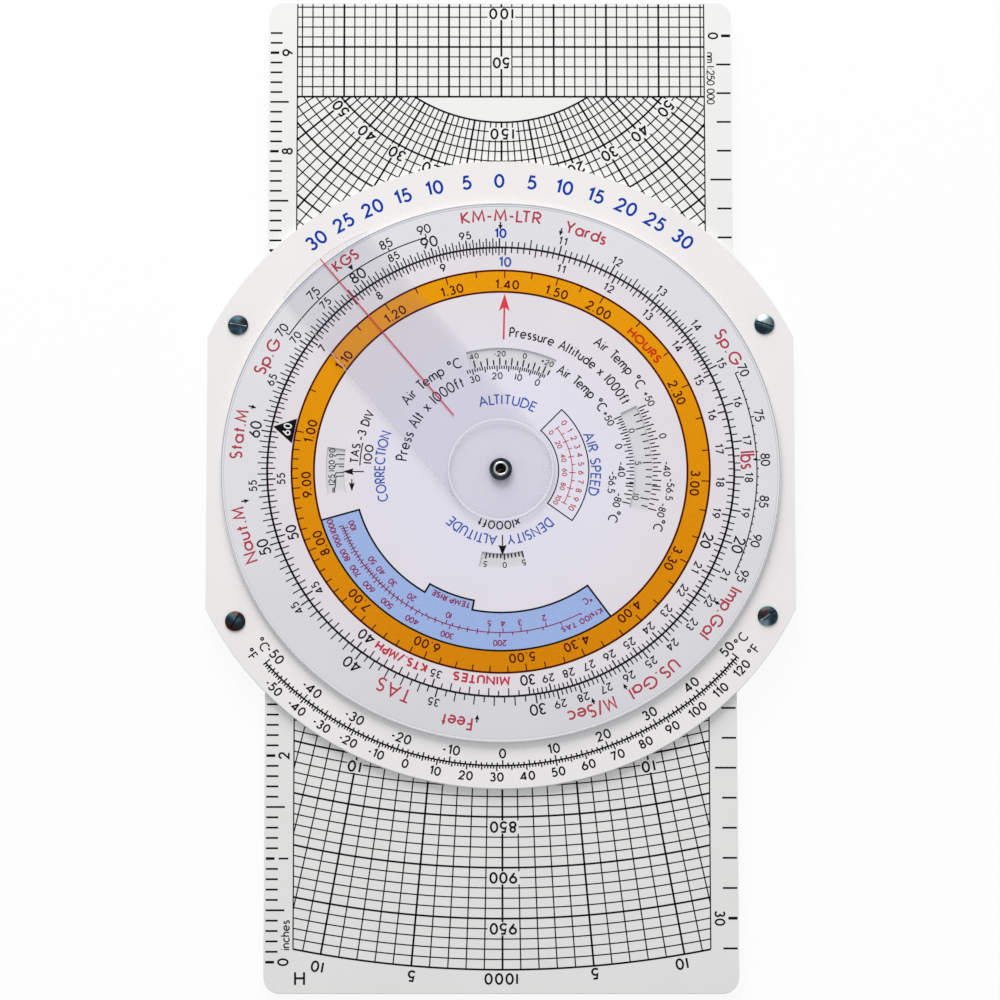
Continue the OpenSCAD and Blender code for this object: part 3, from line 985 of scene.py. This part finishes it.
def outer_scale():
    ink = Ink("outer_scale_black_print", "outer_scale_ring", "black_ink")
    edge = dial_r + RING_GAP
    ink.band(edge - EDGE_LAP, edge + 0.14)
    for value, is_long, numbered in log_ticks():
        reach = 2.25 if is_long else 1.45
        ink.tick(edge, edge + reach, scale_angle(value), FINE if numbered else HAIR)
    scale_numbers(ink, NUMBERED, 60.35, 2.9, 60.05)
    for angle, tail, tip in UNIT_ARROWS:
        ink.arrow(on_circle(tail, angle), on_circle(tip, angle), FINE, 1.3, 1.1)
    weight_arc(ink, 62.0, 66.7, 70, 95, (70, 75, 80, 85, 90, 95), 2.35, 0.45)
    weight_arc(ink, 61.75, 303.7, 70, 90, (70, 75, 85, 90), 2.4, 0)
    for tip_r, base_r, half_w, angle in UNIT_POINTERS:
        half = math.degrees(half_w / base_r)
        base = [on_circle(base_r, angle + side * half) for side in (-1, 1)]
        ink.fill([on_circle(tip_r, angle)] + base)

    # Painted shade on the ring's clear rim, widest at the top, and a painted highlight on it, widest at
    # the bottom
    rim = Ink("outer_scale_rim_painted_shade", "outer_scale_ring", "rim_painted_shade_ink")
    rim.crescent(ring_r - 0.2, 0.3, 0)
    rim.crescent(ring_r - 0.75, 0.2, 0)
    shine = Ink("outer_scale_rim_painted_highlight", "outer_scale_ring", "white_ink")
    shine.crescent(ring_r - 0.3, 0.3, 180)

    words = Ink("outer_scale_red_print", "outer_scale_ring", "ring_red_ink")
    for text, start, end, radius, height in UNIT_WORDS:
        words.around(text, radius, start, end, height, 0.46)
    ten = Ink("outer_scale_blue_print", "outer_scale_ring", "blue_ink")
    ten.number(10, 60.1, 0, 2.5, 0.46)


def weight_arc(ink, radius, start, first, last, numbers, height, unit_tick):
    """A short extra scale for weights, outside the main one."""
    def angle_of(value):
        return start + log_turn(value / first)

    ink.arc(radius, start, angle_of(last), HAIR)
    for value in range(first, last + 1):
        if value in numbers:
            ink.tick(radius, radius + 0.95, angle_of(value), HAIR)
            ink.number(value, radius + 2.1, angle_of(value), height, 0.33, gap=0.2)
        elif unit_tick:
            ink.tick(radius, radius + unit_tick, angle_of(value), HAIR)


# Dial

# Minutes that the hours band marks, and those that it numbers in hours
BAND_MARKS = (*range(60, 120, 5), *range(120, 600, 10))
BAND_NUMBERS = (*range(60, 120, 10), *range(120, 300, 30), *range(300, 541, 60))
BAND_INNER, BAND_OUTER = 45.17, 50.6
BAND_EDGE_W = 0.47
PANEL_START, PANEL_END = 142.65, 252.45
PANEL_INNER, PANEL_OUTER = 35.6, 45.12
PANEL_EDGE_W = 0.44
TAB_START, TAB_END, TAB_INNER = 189.75, 209.55, 33.2
PANEL_LINE = 40.6
KELVIN = 273
JET_COLD = -56.5

# Words as read on the face: text, start, end, radius and height
CENTRE_WORDS = (
    ("Pressure Altitude x 1000ft", 3.5, 61, 35.0, 2.6),
    ("Air Temp °C", 35, 58.5, 40.2, 2.6),
    ("Air Temp °C", 28.5, 58.5, 29.3, 2.6),
    ("Air Temp °C", -54, -19.5, 29.0, 2.7),
    ("Press Alt x 1000ft", -84, -22, 24.2, 2.85),
    ("x1000ft", 160, 203.5, 13.8, 2.2),
    ("TAS", -87, -79, 35.5, 2.15),
    ("100", -87, -78.5, 32.3, 2.15),
    ("–3 DIV", -77.5, -64.5, 34.9, 2.2),
)
BLUE_WORDS = (
    ("ALTITUDE", -17.5, 28.5, 17.9, 2.6),
    ("AIR SPEED", 65.5, 106, 23, 2.6),
    ("DENSITY", 136, 175, 17.5, 2.6),
    ("ALTITUDE", 183, 226, 17.5, 2.6),
    ("CORRECTION", -105.5, -70.5, 29.3, 2.6),
)
RED_WORDS = (("MINUTES", 177.6, 192.7, 52.5, 2.3), ("KTS./MPH", 199.8, 214.6, 52.7, 2.3))

# Arrows as read on the face: tail, tip, length and width of the head
CENTRE_ARROWS = (
    ((0.4, -16.2), (0.4, -21.3), 2.6, 2.0),
    ((-33.1, -0.3), (-38.2, -0.3), 2.6, 1.7),
    ((-36, -2.2), (-36, -5.3), 2.2, 1.4),
)

# Numbers on both sides of the right window: value, then radius and turn inside and outside
COLD_NUMBERS = (
    (50, 29.2, -1.7, 40.2, -1.7),
    (0, 29.2, 0, 40.2, -0.5),
    (-40, 29.2, -0.9, 40.2, -0.9),
    (JET_COLD, 27.1, 0.2, 41.2, 0.6),
    (-80, 29.2, -0.2, 40.2, -0.6),
)


def dial_ink(name, material, layer=1):
    return Ink(name, "inner_dial", material, layer=layer)


def set_angle(angle):
    """An angle read on the face, as an angle on the dial itself."""
    return angle - DIAL_SET


def set_point(point):
    """A point read on the face, as a point on the dial itself."""
    return moved((0, 0), -DIAL_SET, *point)


def set_words(ink, stroke, *words):
    """Words along circles, with their places as read on the face."""
    for text, start, end, radius, height in words:
        ink.around(plain_ones(text), radius, set_angle(start), set_angle(end), height, stroke)


def dial_scale(ink):
    ink.band(dial_r - 0.2, dial_r + EDGE_LAP)
    for value, is_long, numbered in log_ticks():
        if abs(value - 60) < 0.4:
            continue
        reach = 1.95 if is_long else 1.35
        ink.tick(dial_r - reach, dial_r - EDGE_LAP, scale_angle(value), FINE if numbered else HAIR)
    scale_numbers(ink, [value for value in NUMBERED if value < 60], 52.75, 2.7, 53.15)
    for digit in (7, 8, 9):
        ink.number(digit, 53.15, scale_angle(10 * digit), 2.1, 0.32)
    ink.fill([on_circle(56.2, scale_angle(60)), on_circle(51.0, 276.2), on_circle(51.0, 283.4)])


def hours_print(ink):
    """Minute ticks, hour numbers and edges of the orange band. The blue panel has its own edge."""
    for minutes in BAND_MARKS:
        inner = 48.65 if minutes in BAND_NUMBERS else 49.0
        ink.tick(inner, BAND_OUTER, scale_angle(minutes), HAIR)
    for minutes in BAND_NUMBERS:
        text = f"{minutes // 60}.{minutes % 60:02}"
        ink.number(text, 47.05, scale_angle(minutes) + 0.75, 2.4, 0.38, gap=0.29)
    corner = math.degrees(PANEL_EDGE_W / 2 / BAND_INNER)
    ink.arc(BAND_INNER, PANEL_END + corner, PANEL_START + 360 - corner, BAND_EDGE_W)
    ink.arc(BAND_OUTER, 0, 360, BAND_EDGE_W)


def centre_print(ink):
    set_words(ink, 0.32, *CENTRE_WORDS)
    ink.arc(34.1, set_angle(-88), set_angle(-78.3), HAIR)
    for tail, tip, head_l, head_w in CENTRE_ARROWS:
        ink.arrow(set_point(tail), set_point(tip), HAIR, head_l, head_w)


def cold_angle(celsius):
    return set_angle(78.0 - 179.3 * math.log10((celsius + KELVIN) / KELVIN))


def window_ticks(ink):
    """Scales printed on the dial beside its windows."""
    for value in range(-2, 33):
        angle = set_angle(21.9 - 1.1 * value - 0.0045 * value ** 2)
        ink.tick(25.0 if value % 5 == 0 else 25.6, 26.5, angle, HAIR)
        if value % 10 == 0:
            ink.number(plain_ones(value), 23.9, angle, 1.75, 0.25)
    for celsius in (*range(-80, 51, 5), JET_COLD):
        is_long = celsius % 10 == 0 or celsius == JET_COLD
        ink.tick(30.4 if is_long else 31.2, 32.3, cold_angle(celsius), HAIR)
        ink.tick(36.8, 38.9 if is_long else 38.0, cold_angle(celsius), HAIR)
    for celsius, *places in COLD_NUMBERS:
        sign = f"+{celsius}" if celsius > 0 else f"{celsius:g}".replace("-", "–")
        for radius, turn in (places[:2], places[2:]):
            ink.number(sign, radius, cold_angle(celsius) + turn, 1.85, 0.26, gap=0.22)
    ink.number("°C", 29.7, set_angle(112.7), 2.4, 0.3)
    ink.number("°C", 40.6, set_angle(109.75), 2.4, 0.3)


def legend_box(ink, scale_ink):
    """Outlined sector right of the pivot with a small plain scale in it."""
    start, end, inner, outer = set_angle(44), set_angle(126.2), 14.0, 21.3
    ink.line(arc_points(outer, start, end) + arc_points(inner, end, start), HAIR, closed=True)
    line_r, line_w, margin = 17.3, 0.2, 8
    first, last = start + margin, end - margin
    scale_ink.arc(line_r, first, last, line_w)
    for k, angle in enumerate(evenly(first, last, 10)):
        scale_ink.tick(line_r, line_r + 0.8, angle, line_w)
        scale_ink.number(k, 19.5, angle, 1.5, 0.22)
        if k % 2 == 0:
            scale_ink.tick(line_r - 0.7, line_r, angle, line_w)
            scale_ink.number(k * 10, 15.5, angle, 1.3, 0.2)


def panel_outline(ink):
    path = []
    for radius, start, end in (
        (PANEL_OUTER, PANEL_START, PANEL_END), (PANEL_INNER, PANEL_END, TAB_END),
        (TAB_INNER, TAB_END, TAB_START), (PANEL_INNER, TAB_START, PANEL_START),
    ):
        path += arc_points(radius, start, end)
    ink.line(path, PANEL_EDGE_W, closed=True)


def speed_angle(value):
    part = math.log10(value / 100)
    return set_angle(151.8 + 98.2 * part - 1.2 * math.sin(math.pi * part))


def rise_angle(value):
    return set_angle(164.3 + 49.8 * math.log10(value / 2))


def panel_print():
    """Temperature rise against speed, on the blue panel."""
    ink = dial_ink("dial_wine_print", "wine_ink")
    tick_w, stroke, height, gap = 0.24, 0.27, 1.58, 0.18
    long_tick, short_tick = 1.1, 0.7
    numbered_rises = (2, 3, 4, 5, 10, 20, 30, 40, 50, 100)
    speed_shifts = {800: 0.35, 900: 0.55, 1000: 1.0}

    ink.arc(PANEL_LINE, speed_angle(100), speed_angle(1000), tick_w)
    ink.tick(PANEL_LINE, PANEL_LINE + 0.45, speed_angle(100), tick_w)
    for value in range(120, 1001, 20):
        length = long_tick if value % 100 == 0 else short_tick
        ink.tick(PANEL_LINE, PANEL_LINE + length, speed_angle(value), tick_w)
    for value in range(200, 1001, 100):
        angle = speed_angle(value) + speed_shifts.get(value, 0)
        ink.number(plain_ones(value), 43.2, angle, height, stroke, gap=gap)
    for value in (*range(2, 10), *range(10, 50, 2), *range(50, 101, 5)):
        length = long_tick if value in numbered_rises else short_tick
        ink.tick(PANEL_LINE - length, PANEL_LINE, rise_angle(value), tick_w)
    for value in numbered_rises:
        ink.number(plain_ones(value), 38.4, rise_angle(value), height, stroke, gap=gap)
    ink.number("°C", 38.6, set_angle(147.4), 1.7, stroke)
    set_words(ink, stroke, ("Kts100 TAS", 145.1, 159.9, 42.5, 1.5))
    set_words(ink, 0.3, ("TEMP.RISE", 192.3, 208.5, 34.6, 1.5))


def dial_print():
    band = dial_ink("dial_hours_band", "orange_ink", layer=0)
    band.band(BAND_INNER, BAND_OUTER)
    panel = dial_ink("dial_blue_panel", "panel_blue_ink", layer=0)
    panel.band(PANEL_INNER, PANEL_OUTER - 0.05, PANEL_START, PANEL_END)
    panel.band(TAB_INNER, PANEL_INNER, TAB_START, TAB_END)
    panel_print()

    ink = dial_ink("dial_black_print", "black_ink")
    dial_scale(ink)
    centre_print(ink)
    window_ticks(ink)
    legend_box(ink, dial_ink("dial_legend_print", "ring_red_ink"))
    panel_outline(ink)
    hours_print(dial_ink("dial_brown_print", "brown_ink"))

    hours = dial_ink("dial_band_red_print", "band_red_ink")
    set_words(hours, 0.46, ("HOURS", 41.3, 54.5, 47.3, 2.25))
    set_words(dial_ink("dial_red_print", "red_ink"), 0.46, *RED_WORDS)
    index = dial_ink("dial_arrow_print", "arrow_red_ink")
    index.arrow(set_point((0.74, 33.1)), set_point((1.02, 44.7)), 0.42, 4.4, 2.66, 0.76)
    words = dial_ink("dial_blue_print", "pale_blue_ink", layer=0)
    set_words(words, 0.35, *BLUE_WORDS)
    words.number(10, 52.8, SCALE_TURN, 2.6, 0.46)
    sixty = dial_ink("dial_white_print", "white_ink", layer=2)
    sixty.number(60, 52.75, scale_angle(60), 2.05, 0.32)


# Sheet behind the dial's windows

MARK_X = -37.7
MARK_W = 0.24

# Speeds behind the left window, each led to its mark: text, place and leader
CORRECTIONS = (
    ("90", (-40.75, 4.5), [(-40.1, 3.6), (-39.6, 4.1), (MARK_X, 4.04)]),
    ("100", (-40.9, 1.28), [(-40.2, 0.9), (-39.9, 1.7), (MARK_X, 1.7)]),
    ("125", (-40.9, -2.25), [(-40.2, -1.2), (-39.8, -0.5), (MARK_X, -0.43)]),
    ("∞", (-40.5, -4.85), [(-40.05, -4.3), (-39.85, -1.4), (MARK_X, -1.28)]),
)


def window_print():
    ink = Ink("window_scale_print", "window_scale_disc", "black_ink")
    ink.band(dial_r - 0.25, dial_r + 0.13)
    for celsius in range(-75, 61, 5):
        angle = log_turn((celsius + KELVIN) / (KELVIN - 20)) - 0.4
        ink.tick(26.7, 28.6 if celsius % 10 == 0 else 28.0, angle, FINE)
        if celsius % 20 == 0:
            ink.number(f"+{celsius}" if celsius > 0 else celsius, 29.6, angle, 1.45, 0.22)
    for value in range(-2, 21):
        angle = 72.3 + 2.82 * value + 0.008 * value ** 2
        ink.tick(34.4 if value % 5 == 0 else 35.1, 36.6, angle, HAIR)
        if value % 5 == 0:
            ink.number(plain_ones(value), 33.3, angle, 1.6, 0.22)
    for k in range(-6, 6):
        ink.tick(20.85, 22.35 if k % 5 == 0 else 21.95, 177.7 + k * 2.36, FINE)
        if k % 5 == 0:
            ink.number(abs(k), 23.65, 177.7 + k * 2.28, 1.5, 0.22)
    for text, spot, leader in CORRECTIONS:
        ink.write(plain_ones(text), spot, 1.55, 0.22, -90)
        ink.line(leader, MARK_W)
    for y in (2.98, 1.06):
        ink.line([(-39.2, y), (MARK_X, y)], MARK_W)


# Corner screws

SLOT_DEPTH = 0.5
SLOT_LINE_W = 0.2
SLOT_ASIDE = -0.1

# Painted highlights and painted shade in the slots. Tone, corner by its signs, angle of the slot and
# both ends along it
SLOT_LINES = (
    ("shine", (-1, 1), 100, -2.1, 2.1),
    ("shade", (1, 1), 111, -2.1, 2.1),
    ("shade", (-1, -1), 30, -2.1, 2.1),
    ("shine", (1, -1), 55, -2.1, 0.8),
    ("shade", (1, -1), 55, 0.8, 2.1),
)


def screw_centre(corner):
    """The middle of the screw in one corner, read from its solid."""
    solid = frame["nodes"]["corner_screws"].data
    points = [v.co / MM for v in solid.vertices if v.co.x * corner[0] > 0 and v.co.y * corner[1] > 0]
    spans = [[point[axis] for point in points] for axis in (0, 1)]
    return [(min(span) + max(span)) / 2 for span in spans]


def slot_print():
    """Painted highlights and painted shade: light and dark lines on the floors of the screwdriver slots.
    """
    z = face_of("corner_screws") - SLOT_DEPTH
    inks = {
        "shine": Ink("screw_slot_painted_highlight", "corner_screws", "white_ink", face_z=z),
        "shade": Ink("screw_slot_painted_shade", "corner_screws", "black_ink", face_z=z),
    }
    for tone, corner, angle, first, last in SLOT_LINES:
        centre = moved(screw_centre(corner), angle, SLOT_ASIDE)
        inks[tone].tick(first, last, angle, SLOT_LINE_W, centre)


# Cursor

CURSOR_OVERHANG = 1.35
CURSOR_END_R = 45
CURSOR_EDGE_R = 44.87
CURSOR_EDGE_X = -13.17
HAIRLINE_START = 17.9
HAIRLINE_LAP = 1.3


def cursor_print():
    below = face_of("cursor_strip", -1)
    hairline = Ink("cursor_hairline", "cursor_strip", "arrow_red_ink", face_z=below)
    hairline.line([(0, HAIRLINE_START), (0, ring_r + HAIRLINE_LAP)], HAIR)
    # Painted highlight round the hub washer's rim, widest towards the lower right
    rim = Ink("cursor_hub_painted_highlight", "cursor_hub_washer", "clear_rim", face_z=face_of("cursor_strip"))
    rim.crescent(hub_r, 0.38, 150, 0.85)
    # Painted highlight along the strip's cut edge, down its left side and round its end
    edge = Ink("cursor_painted_edge_highlight", "cursor_strip", "clear_edge")
    end_centre = (0, ring_r + CURSOR_OVERHANG - CURSOR_END_R)
    half = math.degrees(math.asin(-CURSOR_EDGE_X / CURSOR_EDGE_R))
    edge.line(arc_points(CURSOR_EDGE_R, half, -half, end_centre) + [(CURSOR_EDGE_X, 0)], 0.2)


# Wind side

def azimuth_print():
    ink = Ink("azimuth_print", "azimuth_ring", "black_ink", facing=-1)
    edge = azimuth_r - 0.3
    for degree in range(360):
        length = by_tens(degree, 2.6, 2.0, 1.3)
        ink.tick(edge - length, edge, degree, BOLD if degree % 10 == 0 else HAIR)
        if degree % 10 == 0 and degree % 90:
            ink.number(degree, edge - 4.4, degree, 2.0, 0.24)
    ink.band(azimuth_r - 8.6, azimuth_r - 8.3)
    letters = Ink("azimuth_red_print", "azimuth_ring", "red_ink", facing=-1)
    for letter, angle in (("N", 0), ("E", 90), ("S", 180), ("W", 270)):
        letters.number(letter, edge - 5.0, angle, 3.2, 0.45)
    mark = Ink("plotting_disc_print", "plotting_disc", "black_ink", facing=-1)
    mark.band(1.0, 1.25)
    mark.fill(arc_points(0.3, 0, 330))


def back_plate_print():
    ink = Ink("back_plate_print", "back_plate", "black_ink", facing=-1)
    inner = azimuth_r + 0.6
    index_l, index_half = 3.2, 1.6
    index_base = [on_circle(inner + index_l, side * index_half) for side in (-1, 1)]
    ink.fill([on_circle(inner, 0)] + index_base)
    for degree in range(-50, 51):
        if degree == 0:
            continue
        ink.tick(inner, inner + by_tens(degree, 2.2, 1.7, 1.1), degree, HAIR)
        if degree % 10 == 0:
            ink.number(abs(degree), inner + 4.2, degree, 2.1, 0.25)


# Stage

CAMERA_AT = (-10.613, -603.68, 2115.921)
CAMERA_AIM = (-0.174, -6.693, 3.15)
CAMERA_ROLL = 0.07
CAMERA_LENS = 326.655
SENSOR_W = 36
SIGHT = 50
FLOOR_HALF = 2500
FLOOR_DROP = 0.06
FLOOR_LIFT = 0.9
SKY_COLOUR = (0.965, 0.97, 1.0, 1)
SKY_STRENGTH = 0.60
LAMP_AT = (-200, 1350, 700)
LAMP_SIZE = 1290
LAMP_ENERGY = 22.2
LAMP_COLOUR = (1.0, 0.978, 0.937)


def floor_material():
    """Pale floor that shows white to the eye and keeps the soft shadow."""
    look = Look("pale_floor")
    tones = stops_of(("F4F4F4", "F7F7F7"), NOISE_LOW, NOISE_HIGH)
    rays = look.add("LightPath", {}).node.outputs
    seen = look.combined("MAXIMUM", rays["Is Camera Ray"], rays["Is Glossy Ray"])
    seen = look.combined("MAXIMUM", seen, rays["Is Transmission Ray"])
    lift = look.add("Emission", {"Color": WHITE, "Strength": 1.0})
    look.swapped(look.combined("MULTIPLY", seen, FLOOR_LIFT), lift, "Material Output")
    return look.finished({
        "Base Color": look.ramp(look.noise(6, 3), tones),
        "Roughness": 0.9,
        "Specular IOR Level": 0.1,
    })


def make_floor():
    half, z = FLOOR_HALF * MM, -FLOOR_DROP * MM
    corners = [(-half, -half, z), (half, -half, z), (half, half, z), (-half, half, z)]
    mesh = bpy.data.meshes.new("floor")
    mesh.from_pydata(corners, [], [(0, 1, 2, 3)])
    mesh.materials.append(floor_material())
    floor = add_object("floor", mesh)


def make_world():
    """Soft light from all sides, with a white that only the eye sees."""
    look = Look("studio", bpy.data.worlds, "Background")
    eye = look.add("LightPath", {}, "Is Camera Ray")
    look.swapped(eye, look.add("Background", {"Color": WHITE}), "World Output")
    sky = look.finished({"Color": SKY_COLOUR, "Strength": SKY_STRENGTH})
    bpy.context.scene.world = sky


def make_lamp():
    """A broad disc of light above the top of the face, aimed at the pivot."""
    data = bpy.data.lights.new("key", "AREA")
    data.shape = "DISK"
    data.size = LAMP_SIZE * MM
    data.energy = LAMP_ENERGY
    data.color = LAMP_COLOUR
    lamp = add_object("key", data)
    lamp.location = Vector(LAMP_AT) * MM
    lamp.rotation_euler = (-Vector(LAMP_AT)).to_track_quat("-Z", "Y").to_euler()


def make_camera():
    at, aim = Vector(CAMERA_AT) * MM, Vector(CAMERA_AIM) * MM
    forward = (aim - at).normalized()
    right = forward.cross(Vector((0, 1, 0))).normalized()
    up = right.cross(forward)
    data = bpy.data.cameras.new("camera")
    data.lens = CAMERA_LENS
    data.sensor_width = SENSOR_W
    data.clip_end = SIGHT
    camera = add_object("camera", data)
    turn = Matrix((right, up, -forward)).transposed().to_4x4()
    roll = Matrix.Rotation(math.radians(-CAMERA_ROLL), 4, "Z")
    camera.matrix_world = Matrix.Translation(at) @ turn @ roll
    bpy.context.scene.camera = camera


dress_nodes()
slide_front()
slide_back()
plate_print()
outer_scale()
window_print()
dial_print()
slot_print()
cursor_print()
azimuth_print()
back_plate_print()
for ink in prints:
    ink.make()
make_floor()
make_world()
make_lamp()
make_camera()
bpy.context.scene.view_settings.view_transform = "Standard"
